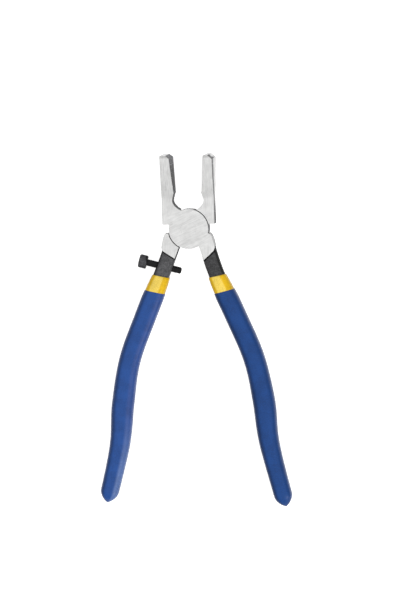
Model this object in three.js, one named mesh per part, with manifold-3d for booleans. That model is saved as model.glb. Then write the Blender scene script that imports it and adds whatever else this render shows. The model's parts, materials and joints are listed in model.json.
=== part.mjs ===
// Running pliers for glass, 200 mm long, lying flat with the joint's axis upright.
//
// Frame, in millimetres: the origin is on the pivot axis, on the ground rear face of the lap joint.
// +Y points to the jaws, +Z out of the front face, and X across the tool. The two forged halves
// differ only in how they are ground and set, and the rear one is turned over about Y. So each half
// is built with its jaw at -X, its half of the lap joint on the +Z side of the joint's middle plane,
// and its shank at +X.

import * as THREE from "three";
import { mergeVertices } from "three/addons/utils/BufferGeometryUtils.js";
import Module from "manifold-3d";

// Clearance that touching pieces keep, and the extra length of a cutting tool past a face.
const GAP = 0.3;
const PAST = 1;

// Lap joint: two discs, each half of the head's thickness, held by a flush rivet.
const HEAD_THICKNESS = 11;
const DISC_RADIUS = 11;
const POCKET_RADIUS = 11.5;
const RIVET_RADIUS = 4;
const JOINT_SIDES = 48;

// Jaws: the distances across X are from the middle of the tool, and Y is along the jaw. The left
// jaw's gripping face is ground to reach a little further in at the tip.
const TIP_Y = 41;
const JAW_OUTER_X = 14.5;
const LEFT_GRIP_TIP_X = 8.75;
const RIGHT_GRIP_TIP_X = 9.5;
const JAW_SHOULDER_Y = 2.6;
const GRIP_ROOT = new THREE.Vector2(7.5, 20.4);
const THROAT_TOP_BEND = new THREE.Vector2(8.2, 18.4);
const THROAT_SIDE = new THREE.Vector2(8.65, 16.1);
const THROAT_BENDS = [new THREE.Vector2(8.9, 14), new THREE.Vector2(6.6, 11.6)];
const THROAT_FLOOR = new THREE.Vector2(3.9, 10.29);
const TIP_CHAMFER = new THREE.Vector2(2.5, 2.1);
const GRIP_SAG = 0.6;
const CENTRE_MARK_WIDTH = 1.2;
const CURVE_SEGMENTS = 8;

// Seen from the side, each jaw widens in a curve from the head's thickness to its bevelled tip.
const JAW_TIP_HALF_THICKNESS = 12.5;
const FLARE_START_Y = 17;
const FLARE_BEND = new THREE.Vector2(28.5, 10.4);
const TIP_BEVEL = new THREE.Vector2(1.3, 1);

// The two handles are forged alike and set by hand, so they differ by a millimetre or so.
// Each has the ground part of its shank, down to an oblique step, and then its centre line,
// from inside the head to the end of the grip.
const RIGHT_HANDLE = {
  shoulder: [
    new THREE.Vector2(11.4, -2.6),
    new THREE.Vector2(13.4, -4.2),
    new THREE.Vector2(14.2, -10.6),
    new THREE.Vector2(13.6, -12.3),
    new THREE.Vector2(8, -17.4),
    new THREE.Vector2(5.7, -10.2),
  ],
  line: handleLine([9.9, -10.5], [14.5, -25.4], [24.3, -48], [34, -72], [39, -96],
    [41.6, -120], [50, -154.9]),
};
const LEFT_HANDLE = {
  shoulder: [
    new THREE.Vector2(13.2, -2.4),
    new THREE.Vector2(14.3, -3.8),
    new THREE.Vector2(15.4, -10.2),
    new THREE.Vector2(14.3, -12.1),
    new THREE.Vector2(8.1, -16.2),
    new THREE.Vector2(5.6, -9.9),
  ],
  line: handleLine([10.2, -10.5], [16, -25.4], [25.5, -48], [34.8, -72], [39.2, -96],
    [41.8, -120], [49.5, -151]),
};

// Outer half width and half thickness of the dipped grip, at distances along the handle line.
const HALF_WIDTHS = [
  [0, 6.15],
  [18, 6.2],
  [38, 5.9],
  [70, 5.9],
  [92, 6.15],
  [112, 5.6],
  [128, 5.2],
  [150, 4.95],
];
const HALF_THICKNESSES = [
  [0, 6.2],
  [18, 6.2],
  [40, 6],
  [110, 5.8],
  [150, 4.9],
];

// Each layer of the handle lies this far inside the grip's outer surface.
const STEEL_DEPTH = 1.8;
const UNDER_DIP_DEPTH = 0.95;
const GRIP_WALL = 0.65;

// Distances along the handle line where the dips start, and before its end where layers stop.
const UNDER_DIP_START = 16.6;
const GRIP_START = 26;
const STEEL_SHORT = 12.5;
const UNDER_DIP_SHORT = 6;
const GRIP_CAVITY_SHORT = 4.6;
const GRIP_TAPER = 7;
const LIP_THINNING = 0.25;
const LIP_LENGTH = 4;

// The dips' upper edges are level rather than square to the handle, fading out over this length.
const MOUTH_LEAN = THREE.MathUtils.degToRad(10);
const LEAN_LENGTH = 16;

// Handle section: a rounded rectangle |x/a|^n + |z/b|^n = 1.
const SECTION_POWER = 3.2;
const SECTION_SIDES = 16;
const HANDLE_STEPS = 12;
const TIP_STEPS = 4;
const DRIP_POWER = 0.8;

// Adjusting stop: an M4 x 20 socket-head cap screw through the shank, its axis dipping to the tip.
const SCREW_CROSSING = new THREE.Vector2(14.2, -20.9);
const SCREW_DIP = THREE.MathUtils.degToRad(14.9);
const SCREW_RADIUS = 2;
const SCREW_LENGTH = 20;
const SCREW_HEAD_RADIUS = 3.5;
const SCREW_HEAD_HEIGHT = 4;
const SCREW_STAND_OFF = 10.5;
const SCREW_EDGE = 0.5;
const SOCKET_ACROSS_FLATS = 3;
const SOCKET_DEPTH = 2;
const SCREW_SIDES = 24;

// A smooth centre line through points in the tool's plane.
function handleLine(...points) {
  const line = new THREE.SplineCurve(points.map(([x, y]) => new THREE.Vector2(x, y)));
  line.arcLengthDivisions = 400;
  return line;
}

const wasm = await Module();
wasm.setup();

// ---- Solids ----

// A closed geometry as a solid that can be joined and cut.
function solid(geometry) {
  const bare = geometry.index ? geometry.toNonIndexed() : geometry.clone();
  bare.deleteAttribute("normal");
  bare.deleteAttribute("uv");
  const merged = mergeVertices(bare, 1e-4);
  const vertProperties = new Float32Array(merged.attributes.position.array);
  const triVerts = new Uint32Array(merged.index.array);
  return new wasm.Manifold(new wasm.Mesh({ numProp: 3, vertProperties, triVerts }));
}

// A solid's surface as a geometry.
function surface(shape) {
  const mesh = shape.getMesh();
  const geometry = new THREE.BufferGeometry();
  geometry.setAttribute("position", new THREE.BufferAttribute(mesh.vertProperties, 3));
  geometry.setIndex(new THREE.BufferAttribute(mesh.triVerts, 1));
  geometry.computeVertexNormals();
  return geometry;
}

// A disc or pin along Z, between two heights.
function pin(radius, bottom, top, sides) {
  const geometry = new THREE.CylinderGeometry(radius, radius, top - bottom, sides);
  geometry.rotateX(Math.PI / 2);
  geometry.translate(0, 0, (top + bottom) / 2);
  return geometry;
}

// An outline in XY made into a plate of the given thickness about the middle plane.
function plate(outline, thickness) {
  const geometry = new THREE.ExtrudeGeometry(outline, {
    depth: thickness,
    bevelEnabled: false,
    curveSegments: CURVE_SEGMENTS,
  });
  geometry.translate(0, 0, -thickness / 2);
  return geometry;
}

// Rings of points skinned into one closed body, capped at both ends and facing outwards.
function skin(rings) {
  const sides = rings[0].length;
  const points = rings.flat();
  const middle = (ring) =>
    ring.reduce((sum, p) => sum.add(p), new THREE.Vector3()).divideScalar(sides);
  const first = points.push(middle(rings[0])) - 1;
  const last = points.push(middle(rings.at(-1))) - 1;
  const top = (rings.length - 1) * sides;
  const index = [];
  for (let side = 0; side < sides; side++) {
    const next = (side + 1) % sides;
    index.push(first, next, side, last, top + side, top + next);
    for (let ring = 0; ring < rings.length - 1; ring++) {
      const a = ring * sides + side;
      const b = ring * sides + next;
      index.push(a, b, a + sides, b, b + sides, a + sides);
    }
  }
  const geometry = new THREE.BufferGeometry().setFromPoints(points);
  geometry.setIndex(index);
  return geometry;
}

// ---- Handle line and sections ----

// A value between [distance, value] keys, eased so that the surface has no corner at a key.
function between(keys, distance) {
  let at = 1;
  while (at < keys.length - 1 && distance > keys[at][0]) at++;
  const [from, low] = keys[at - 1];
  const [to, high] = keys[at];
  return low + (high - low) * THREE.MathUtils.smoothstep(distance, from, to);
}

// How much an edge that starts at a mouth still affects a place further along, from 1 to 0.
function fade(distance, mouth, length) {
  return 1 - THREE.MathUtils.smoothstep(distance, mouth, mouth + length);
}

// The ring of points of one section, this far inside the grip's outer surface.
function ring(line, distance, depth, shrink = 1) {
  const along = Math.min(distance / line.getLength(), 1);
  const centre = line.getPointAt(along);
  const tangent = line.getTangentAt(along);
  const lean = MOUTH_LEAN * fade(distance, GRIP_START, LEAN_LENGTH);
  const across = new THREE.Vector2(-tangent.y, tangent.x).rotateAround(new THREE.Vector2(), -lean);
  const halfWidth = (between(HALF_WIDTHS, distance) - depth) * shrink;
  const halfThickness = (between(HALF_THICKNESSES, distance) - depth) * shrink;
  const rounded = (value) => Math.sign(value) * Math.abs(value) ** (2 / SECTION_POWER);
  const points = [];
  for (let side = 0; side < SECTION_SIDES; side++) {
    const angle = (2 * Math.PI * side) / SECTION_SIDES;
    const offset = halfWidth * rounded(Math.cos(angle));
    const height = halfThickness * rounded(Math.sin(angle));
    points.push(
      new THREE.Vector3(centre.x + across.x * offset, centre.y + across.y * offset, height),
    );
  }
  return points;
}

// Distances from one place to another in equal steps, both ends included.
function steps(from, to, count) {
  return Array.from({ length: count + 1 }, (_, i) => from + ((to - from) * i) / count);
}

// A cup over the handle: its cavity from the closed end to the mouth, then its outside back.
function dip({ line, mouth, cavityEnd, end, cavityDepth, outerDepth, taper }) {
  const inside = steps(mouth, cavityEnd, HANDLE_STEPS).reverse();
  const lip = steps(mouth, mouth + LIP_LENGTH, 2);
  const outside = steps(mouth + LIP_LENGTH, end - taper, HANDLE_STEPS - 1).slice(1);
  const tip = steps(0, 0.49 * Math.PI, TIP_STEPS).slice(1).map(Math.sin);
  const wall = (s) => ring(line, s, outerDepth + LIP_THINNING * fade(s, mouth, LIP_LENGTH));
  const drip = (part) =>
    ring(line, end - taper * (1 - part), outerDepth, (1 - part ** 2) ** DRIP_POWER);
  return skin([
    ...inside.map((s) => ring(line, s, cavityDepth)),
    ...[...lip, ...outside].map(wall),
    ...tip.map(drip),
  ]);
}

// ---- Forged half ----

// The jaw seen from the front, with its tip chamfered on the gripping side or on the outer side.
function jawOutline(gripTipX, chamferInside) {
  const inner = chamferInside ? TIP_CHAMFER : new THREE.Vector2();
  const outer = chamferInside ? new THREE.Vector2() : TIP_CHAMFER;
  const outline = new THREE.Shape();
  outline.moveTo(-DISC_RADIUS / 2, JAW_SHOULDER_Y);
  outline.lineTo(-JAW_OUTER_X, JAW_SHOULDER_Y);
  outline.lineTo(-JAW_OUTER_X, TIP_Y - outer.y);
  if (!chamferInside) outline.lineTo(-JAW_OUTER_X + outer.x, TIP_Y);
  outline.lineTo(-gripTipX - inner.x, TIP_Y);
  if (chamferInside) outline.lineTo(-gripTipX, TIP_Y - inner.y);
  outline.lineTo(-GRIP_ROOT.x, GRIP_ROOT.y);
  outline.quadraticCurveTo(-THROAT_TOP_BEND.x, THROAT_TOP_BEND.y, -THROAT_SIDE.x, THROAT_SIDE.y);
  const [high, low] = THROAT_BENDS;
  outline.bezierCurveTo(-high.x, high.y, -low.x, low.y, -THROAT_FLOOR.x, THROAT_FLOOR.y);
  outline.lineTo(-THROAT_FLOOR.x / 2, DISC_RADIUS / 2);
  return outline;
}

// The jaw's side view, widening from the head's thickness to the wide tip, as a cutting envelope.
function flareEnvelope() {
  const root = HEAD_THICKNESS / 2;
  const bevelY = TIP_Y - TIP_BEVEL.x;
  const tipZ = JAW_TIP_HALF_THICKNESS;
  const outline = new THREE.Shape();
  outline.moveTo(0, -root);
  outline.lineTo(FLARE_START_Y, -root);
  outline.quadraticCurveTo(FLARE_BEND.x, -FLARE_BEND.y, bevelY, -tipZ);
  outline.lineTo(TIP_Y, -tipZ + TIP_BEVEL.y);
  outline.lineTo(TIP_Y, tipZ - TIP_BEVEL.y);
  outline.lineTo(bevelY, tipZ);
  outline.quadraticCurveTo(FLARE_BEND.x, FLARE_BEND.y, FLARE_START_Y, root);
  outline.lineTo(0, root);
  const geometry = plate(outline, 4 * JAW_OUTER_X);
  const toYZ = new THREE.Matrix4().makeBasis(
    new THREE.Vector3(0, 1, 0),
    new THREE.Vector3(0, 0, 1),
    new THREE.Vector3(1, 0, 0),
  );
  return geometry.applyMatrix4(toYZ);
}

// What is ground off the gripping face to leave it crowned, or hollowed to match a crowned one.
function gripFaceCutter(gripTipX, crowned) {
  const reach = JAW_TIP_HALF_THICKNESS + 2 * PAST;
  const sag = GRIP_SAG * (reach / JAW_TIP_HALF_THICKNESS) ** 2;
  const edge = crowned ? -sag : sag - GRIP_SAG;
  const control = crowned ? sag : -sag - GRIP_SAG;
  const outline = new THREE.Shape();
  outline.moveTo(edge, -reach);
  outline.quadraticCurveTo(control, 0, edge, reach);
  outline.lineTo(gripTipX / 2, reach);
  outline.lineTo(gripTipX / 2, -reach);
  const tip = new THREE.Vector3(-gripTipX, TIP_Y, 0);
  const root = new THREE.Vector3(-GRIP_ROOT.x, GRIP_ROOT.y, 0);
  const along = root.clone().sub(tip);
  const geometry = new THREE.ExtrudeGeometry(outline, {
    depth: along.length() + PAST,
    bevelEnabled: false,
    curveSegments: CURVE_SEGMENTS,
  });
  along.normalize();
  const up = new THREE.Vector3(0, 0, 1);
  const outwards = new THREE.Vector3().crossVectors(up, along);
  geometry.applyMatrix4(new THREE.Matrix4().makeBasis(outwards, up, along));
  const start = tip.addScaledVector(along, -PAST);
  return geometry.translate(start.x, start.y, start.z);
}

// A V groove across the middle of the jaw's end, which is lined up with the score on the glass.
function centreMark() {
  const side = CENTRE_MARK_WIDTH / Math.SQRT2;
  const geometry = new THREE.BoxGeometry(3 * JAW_OUTER_X, side, side);
  geometry.rotateX(Math.PI / 4);
  return geometry.translate(0, TIP_Y, 0);
}

function jaw({ gripTipX, chamferInside, crowned, marked }) {
  const outline = jawOutline(gripTipX, chamferInside);
  const blank = solid(plate(outline, 2 * JAW_TIP_HALF_THICKNESS + PAST));
  const flared = blank.intersect(solid(flareEnvelope()));
  const ground = flared.subtract(solid(gripFaceCutter(gripTipX, crowned)));
  return marked ? ground.subtract(solid(centreMark())) : ground;
}

// The ground part of the shank beside the joint, down to the oblique step.
function shankShoulder([top, bend, outer, stepOuter, stepInner, crotch]) {
  const outline = new THREE.Shape();
  outline.moveTo(crotch.x / 2, top.y);
  outline.lineTo(top.x, top.y);
  outline.quadraticCurveTo(bend.x, bend.y, outer.x, outer.y);
  outline.lineTo(stepOuter.x, stepOuter.y);
  outline.lineTo(stepInner.x, stepInner.y);
  outline.lineTo(crotch.x, crotch.y);
  outline.lineTo(crotch.x / 2, crotch.y / 2);
  return solid(plate(outline, HEAD_THICKNESS));
}

// The forged shank and the tang inside the grip.
function shank(line) {
  const end = line.getLength() - STEEL_SHORT;
  const rings = steps(0, end, HANDLE_STEPS).map((distance) => ring(line, distance, STEEL_DEPTH));
  return solid(skin(rings));
}

// The screw's own frame: its axis lies along local Y, with the head at +Y.
function screwPlace(geometry) {
  geometry.rotateZ(SCREW_DIP - Math.PI / 2);
  return geometry.translate(SCREW_CROSSING.x, SCREW_CROSSING.y, 0);
}

function forgedHalf({ handle, gripTipX, chamferInside, crowned, marked, tapped }) {
  const lap = GAP / 2;
  const face = HEAD_THICKNESS / 2;
  const pocket = solid(pin(POCKET_RADIUS, -2 * face, lap, JOINT_SIDES));
  const disc = solid(pin(DISC_RADIUS, lap, face, JOINT_SIDES));
  const rivetHole = solid(pin(RIVET_RADIUS + GAP, -2 * face, 2 * face, JOINT_SIDES));
  const rough = jaw({ gripTipX, chamferInside, crowned, marked })
    .add(shankShoulder(handle.shoulder))
    .add(shank(handle.line));
  let half = rough.subtract(pocket).add(disc).subtract(rivetHole);
  if (tapped) {
    const radius = SCREW_RADIUS + GAP;
    const hole = new THREE.CylinderGeometry(radius, radius, SCREW_LENGTH, SCREW_SIDES);
    half = half.subtract(solid(screwPlace(hole)));
  }
  return surface(half);
}

// ---- Adjusting screw ----

// Local Y is 0 where the screw crosses the shank's centre line.
function adjustingScrew() {
  const underHead = SCREW_STAND_OFF;
  const top = underHead + SCREW_HEAD_HEIGHT;
  const end = underHead - SCREW_LENGTH;
  const profile = [
    [0, end],
    [SCREW_RADIUS - SCREW_EDGE, end],
    [SCREW_RADIUS, end + SCREW_EDGE],
    [SCREW_RADIUS, underHead],
    [SCREW_HEAD_RADIUS, underHead],
    [SCREW_HEAD_RADIUS, top - SCREW_EDGE],
    [SCREW_HEAD_RADIUS - SCREW_EDGE, top],
    [0, top],
  ].map(([x, y]) => new THREE.Vector2(x, y));
  const body = solid(new THREE.LatheGeometry(profile, SCREW_SIDES));
  const corner = SOCKET_ACROSS_FLATS / Math.sqrt(3);
  const socket = new THREE.CylinderGeometry(corner, corner, 2 * SOCKET_DEPTH, 6);
  socket.translate(0, top, 0);
  return screwPlace(surface(body.subtract(solid(socket))));
}

// ---- Materials and assembly ----

function material(colour, roughness, metalness) {
  return new THREE.MeshStandardMaterial({ color: colour, roughness, metalness });
}

function piece(name, geometry, look) {
  const mesh = new THREE.Mesh(geometry, look);
  mesh.name = name;
  return mesh;
}

function underDip({ line }) {
  const length = line.getLength();
  return dip({
    line,
    mouth: UNDER_DIP_START,
    cavityEnd: length - STEEL_SHORT + 2 * GAP,
    end: length - UNDER_DIP_SHORT,
    cavityDepth: STEEL_DEPTH - GAP,
    outerDepth: UNDER_DIP_DEPTH,
    taper: GRIP_TAPER / 2,
  });
}

function grip({ line }) {
  const length = line.getLength();
  return dip({
    line,
    mouth: GRIP_START,
    cavityEnd: length - GRIP_CAVITY_SHORT,
    end: length,
    cavityDepth: GRIP_WALL,
    outerDepth: 0,
    taper: GRIP_TAPER,
  });
}

const pliers = new THREE.Group();
pliers.position.z = HEAD_THICKNESS / 2;

// The half with the front disc: its jaw is at the left and its handle at the right.
const fixedSide = new THREE.Group();
fixedSide.add(
  piece(
    "forged_half_front",
    forgedHalf({
      handle: RIGHT_HANDLE,
      gripTipX: LEFT_GRIP_TIP_X,
      chamferInside: true,
      crowned: true,
      marked: false,
      tapped: false,
    }),
    material(0xd2d2d0, 0.32, 1),
  ),
  piece(
    "pivot_rivet",
    pin(RIVET_RADIUS, -HEAD_THICKNESS / 2, HEAD_THICKNESS / 2, JOINT_SIDES),
    material(0xd6d6d4, 0.3, 1),
  ),
  piece("under_dip_right", underDip(RIGHT_HANDLE), material(0xe8c548, 0.5, 0)),
  piece("grip_right", grip(RIGHT_HANDLE), material(0x2f508e, 0.45, 0)),
);

// The half with the rear disc is turned over, so its jaw is at the right and its handle at the left.
const movingSide = new THREE.Group();
movingSide.rotation.y = Math.PI;
movingSide.add(
  piece(
    "forged_half_rear",
    forgedHalf({
      handle: LEFT_HANDLE,
      gripTipX: RIGHT_GRIP_TIP_X,
      chamferInside: false,
      crowned: false,
      marked: true,
      tapped: true,
    }),
    material(0xd2d2d0, 0.32, 1),
  ),
  piece("adjusting_screw", adjustingScrew(), material(0x1e1e1f, 0.4, 0.8)),
  piece("under_dip_left", underDip(LEFT_HANDLE), material(0xe8c548, 0.5, 0)),
  piece("grip_left", grip(LEFT_HANDLE), material(0x3b5c9c, 0.45, 0)),
);

pliers.add(fixedSide, movingSide);

export default pliers;
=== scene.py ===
"""Running pliers for stained glass: forged halves, rivet, stop screw and dipped handles."""

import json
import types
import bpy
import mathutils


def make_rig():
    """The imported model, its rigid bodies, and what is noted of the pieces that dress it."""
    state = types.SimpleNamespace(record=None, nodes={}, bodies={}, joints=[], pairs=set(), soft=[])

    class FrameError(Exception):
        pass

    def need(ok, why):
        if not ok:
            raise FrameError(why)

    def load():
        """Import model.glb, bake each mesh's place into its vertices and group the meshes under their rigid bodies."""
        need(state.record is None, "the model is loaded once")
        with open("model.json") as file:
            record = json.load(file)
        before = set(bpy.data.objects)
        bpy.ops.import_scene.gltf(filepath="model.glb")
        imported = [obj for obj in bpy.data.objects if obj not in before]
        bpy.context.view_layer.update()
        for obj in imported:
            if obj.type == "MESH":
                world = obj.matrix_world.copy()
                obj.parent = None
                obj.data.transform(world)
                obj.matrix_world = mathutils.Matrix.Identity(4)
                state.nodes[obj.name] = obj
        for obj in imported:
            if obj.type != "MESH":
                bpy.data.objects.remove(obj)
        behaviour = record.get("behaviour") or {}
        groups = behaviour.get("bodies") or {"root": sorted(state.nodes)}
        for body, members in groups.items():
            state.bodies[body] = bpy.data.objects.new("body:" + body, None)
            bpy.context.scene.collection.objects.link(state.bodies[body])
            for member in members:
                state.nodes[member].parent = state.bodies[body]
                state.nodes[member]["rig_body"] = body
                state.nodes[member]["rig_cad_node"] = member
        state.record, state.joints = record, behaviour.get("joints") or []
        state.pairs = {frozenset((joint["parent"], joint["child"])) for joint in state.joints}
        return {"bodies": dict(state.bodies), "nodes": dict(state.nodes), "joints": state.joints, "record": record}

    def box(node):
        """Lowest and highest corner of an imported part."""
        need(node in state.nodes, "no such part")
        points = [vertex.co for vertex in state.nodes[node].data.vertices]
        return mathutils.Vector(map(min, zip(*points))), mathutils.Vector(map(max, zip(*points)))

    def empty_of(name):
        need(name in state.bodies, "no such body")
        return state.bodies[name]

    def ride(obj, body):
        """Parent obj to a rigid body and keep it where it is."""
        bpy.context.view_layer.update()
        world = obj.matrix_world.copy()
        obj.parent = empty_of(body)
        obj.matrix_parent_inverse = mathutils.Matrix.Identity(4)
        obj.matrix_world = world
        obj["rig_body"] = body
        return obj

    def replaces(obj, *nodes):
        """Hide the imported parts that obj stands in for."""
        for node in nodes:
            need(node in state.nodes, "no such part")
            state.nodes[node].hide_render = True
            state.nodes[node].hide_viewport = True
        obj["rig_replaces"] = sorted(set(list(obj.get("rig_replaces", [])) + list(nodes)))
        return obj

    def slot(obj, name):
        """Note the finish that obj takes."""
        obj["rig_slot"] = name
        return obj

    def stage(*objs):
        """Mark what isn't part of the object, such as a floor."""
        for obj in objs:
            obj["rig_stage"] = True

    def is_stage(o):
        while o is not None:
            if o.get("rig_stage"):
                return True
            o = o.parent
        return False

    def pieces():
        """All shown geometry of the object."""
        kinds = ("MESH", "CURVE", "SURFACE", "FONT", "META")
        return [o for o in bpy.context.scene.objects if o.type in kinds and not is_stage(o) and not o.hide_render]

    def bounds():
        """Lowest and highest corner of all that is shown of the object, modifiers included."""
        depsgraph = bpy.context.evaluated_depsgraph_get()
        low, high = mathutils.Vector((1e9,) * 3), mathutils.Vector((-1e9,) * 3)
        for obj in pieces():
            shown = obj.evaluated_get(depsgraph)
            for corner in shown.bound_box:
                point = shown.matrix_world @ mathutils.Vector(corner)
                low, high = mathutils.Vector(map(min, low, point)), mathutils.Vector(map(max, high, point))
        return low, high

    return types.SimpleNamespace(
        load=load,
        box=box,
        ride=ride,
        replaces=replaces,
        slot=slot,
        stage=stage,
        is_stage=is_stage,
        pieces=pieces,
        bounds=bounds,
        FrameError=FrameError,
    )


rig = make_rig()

bl_info = {
    "name": "Running Pliers",
    "version": (1, 0, 0),
    "blender": (4, 5, 0),
    "location": "3D View > Sidebar > Running Pliers",
    "description": "Builds the forged halves, rivet, stop screw and dipped handles",
    "category": "Add Mesh",
}

import json
import math

import bmesh
import bpy
from mathutils import Matrix, Vector

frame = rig.load()
CAD_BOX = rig.bounds()

SIZE_FILE = "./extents.json"
MM = 0.001

# The joint's top face and middle plane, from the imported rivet.
JOINT_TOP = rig.box("pivot_rivet")[1][2]
MIDDLE = JOINT_TOP / 2

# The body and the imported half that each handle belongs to, and the side of the tool it is on.
SIDES = {
    "right": {"body": "front_half", "node": "forged_half_front", "across": 1},
    "left": {"body": "rear_half", "node": "forged_half_rear", "across": -1},
}

# Centre lines of the handles in millimetres, each as if it were the right one.
HANDLE_POINTS = {
    "right": [(9.9, -10.5), (14.5, -25.4), (24.3, -48), (34, -72), (39, -96), (41.6, -120),
              (50, -154.9)],
    "left": [(10.2, -10.5), (16, -25.4), (25.5, -48), (34.8, -72), (39.2, -96), (41.8, -120),
             (49.5, -151)],
}

# Straight steps that draw each stretch between two of those points.
LINE_STEPS = 60

# Half width and half thickness of the finished handle, at distances along its line, in mm.
# The curves that hold them run to this distance and this half size.
PROFILE_REACH = 160
PROFILE_TOP = 8
HALF_WIDTHS = [(0, 6.15), (18, 6.2), (38, 5.9), (70, 5.9), (92, 6.15), (112, 5.6), (128, 5.2),
               (160, 4.9)]
HALF_THICKNESSES = [(0, 6.15), (18, 6.15), (40, 5.95), (110, 5.75), (150, 4.9), (160, 4.8)]

# The forged shank lies this far inside the finished handle, and is squarer than its dips.
STEEL_INSET = 1.8
STEEL_POWER = 3.6
DIP_POWER = 2.9

# How far along its line the shank runs, ending under the dips, and its unevenness, in mm.
SHANK_REACH = 40
SHANK_RIPPLE = 0.12

# The upper mouths of the shanks and dips lean out of square by this much.
MOUTH_LEAN = math.radians(-10)

# Where along their lines the yellow and the blue dips begin, in mm.
UNDER_START = 16.6
OVER_START = 26.0

# The end of the ground head on each side: a line across the shank, seen from the front, in mm.
STEP_LINES = {
    "right": ((13.6, -12.3), (8.0, -17.4)),
    "left": ((14.3, -12.1), (8.1, -16.2)),
}

# Where the stop screw crosses the left shank, and how far its axis dips towards the tip.
SCREW_CROSSING = (-14.2, -20.9)
SCREW_DIP = math.radians(14.9)

# The screw's nominal radius in millimetres, the size of the thread's ridge against the thread's
# depth, and the place across the tool, in metres, where the painted highlight on its head begins.
SCREW_RADIUS = 2
RIDGE_SIZE = 0.92
SCREW_HEAD_EDGE = -23.9 * MM

# The rivet fills its bore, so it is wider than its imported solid. In millimetres.
RIVET_RADIUS = 4.29
RIVET_EDGE = 0.03

# Edges of the head nearer the axis than this are the rivet's seat, and stay sharp.
RIVET_SEAT = 5 * MM

# Sides of the round pieces that are made as rings.
ROUND_SIDES = 96

# Up the tool from the axis, where the jaws' flanks and their tips begin, and how far out from
# the middle the flanks are.
FLANK_FOOT = 2.5 * MM
FLANK_OUT = 12 * MM
TIP_FOOT = 38 * MM

# Across the handle, from -1 on its left edge to 1 on its right, where the painted shading of each
# edge starts and where it is full: the left edge's, then the right edge's. Outer edges are painted
# darker as shade, the left handle's inner edge lighter as a highlight, and the yellow's paler
# middle is a painted sheen.
EDGE_SHADING_SPANS = {
    "yellow": ((-0.34, -0.6), (0.12, 0.3)),
    "left": ((-0.25, -0.7), (0.12, 0.44)),
    "right": ((-0.25, -0.65), (0.25, 0.75)),
}

# Where the painted highlight on the left handle's inner edge starts, and where it is full.
HIGHLIGHT_START = -95 * MM
HIGHLIGHT_FULL = -140 * MM

# Half the table's width, and the gap between it and the tool, in metres.
TABLE_HALF = 1.6
TABLE_GAP = 0.02 * MM

# The key light's place, what it faces, and its width, in metres.
KEY_PLACE = (1.0, -1.2, 1.0)
KEY_AIM = (0, -0.05, 0)
KEY_WIDTH = 0.6

# What the camera looks at in millimetres, its lean to the right and to the jaws, its roll, and
# the height that it sees at the tool, in metres.
CAMERA_TARGET = (5.174, -39.972)
CAMERA_LEAN = (math.radians(5.8), math.radians(3.7))
CAMERA_ROLL = math.radians(1.449)
SEEN_HEIGHT = 0.33221


# ---- Small helpers ----

def new_object(name, mesh):
    piece = bpy.data.objects.new(name, mesh)
    bpy.context.scene.collection.objects.link(piece)
    return piece


def smooth(mesh, angle=math.radians(30)):
    """Shades faces smooth, with creases where they meet at more than the angle."""
    mesh.polygons.foreach_set("use_smooth", [True] * len(mesh.polygons))
    mesh.set_sharp_from_angle(angle=angle)


def plain_copy(piece, name):
    """The evaluated piece as an object of plain mesh, in place of the piece."""
    depsgraph = bpy.context.evaluated_depsgraph_get()
    mesh = bpy.data.meshes.new_from_object(piece.evaluated_get(depsgraph))
    old = piece.data
    bpy.data.objects.remove(piece)
    if isinstance(old, bpy.types.Mesh) and not old.users:
        bpy.data.meshes.remove(old)
    mesh.name = name
    return new_object(name, mesh)


def finish_piece(piece, body, node, slot):
    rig.ride(piece, body)
    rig.replaces(piece, node)
    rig.slot(piece, slot)


def ring(z, radius):
    """Points in a ring round the Z axis, in millimetres: radius is a number or goes by turn."""
    points = []
    for i in range(ROUND_SIDES):
        turn = 2 * math.pi * i / ROUND_SIDES
        r = radius(turn) if callable(radius) else radius
        points.append(Vector((r * math.cos(turn), r * math.sin(turn), z)) * MM)
    return points


def skin(name, rings):
    """A mesh over rings of points, all with the same number, capped at both ends."""
    work = bmesh.new()
    rows = [[work.verts.new(point) for point in ring] for ring in rings]
    for low, high in zip(rows, rows[1:]):
        for i, vert in enumerate(low):
            after = (i + 1) % len(low)
            work.faces.new((vert, low[after], high[after], high[i]))
    work.faces.new(list(reversed(rows[0])))
    work.faces.new(rows[-1])
    bmesh.ops.recalc_face_normals(work, faces=work.faces)
    mesh = bpy.data.meshes.new(name)
    work.to_mesh(mesh)
    work.free()
    return mesh


# ---- Node trees ----

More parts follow.
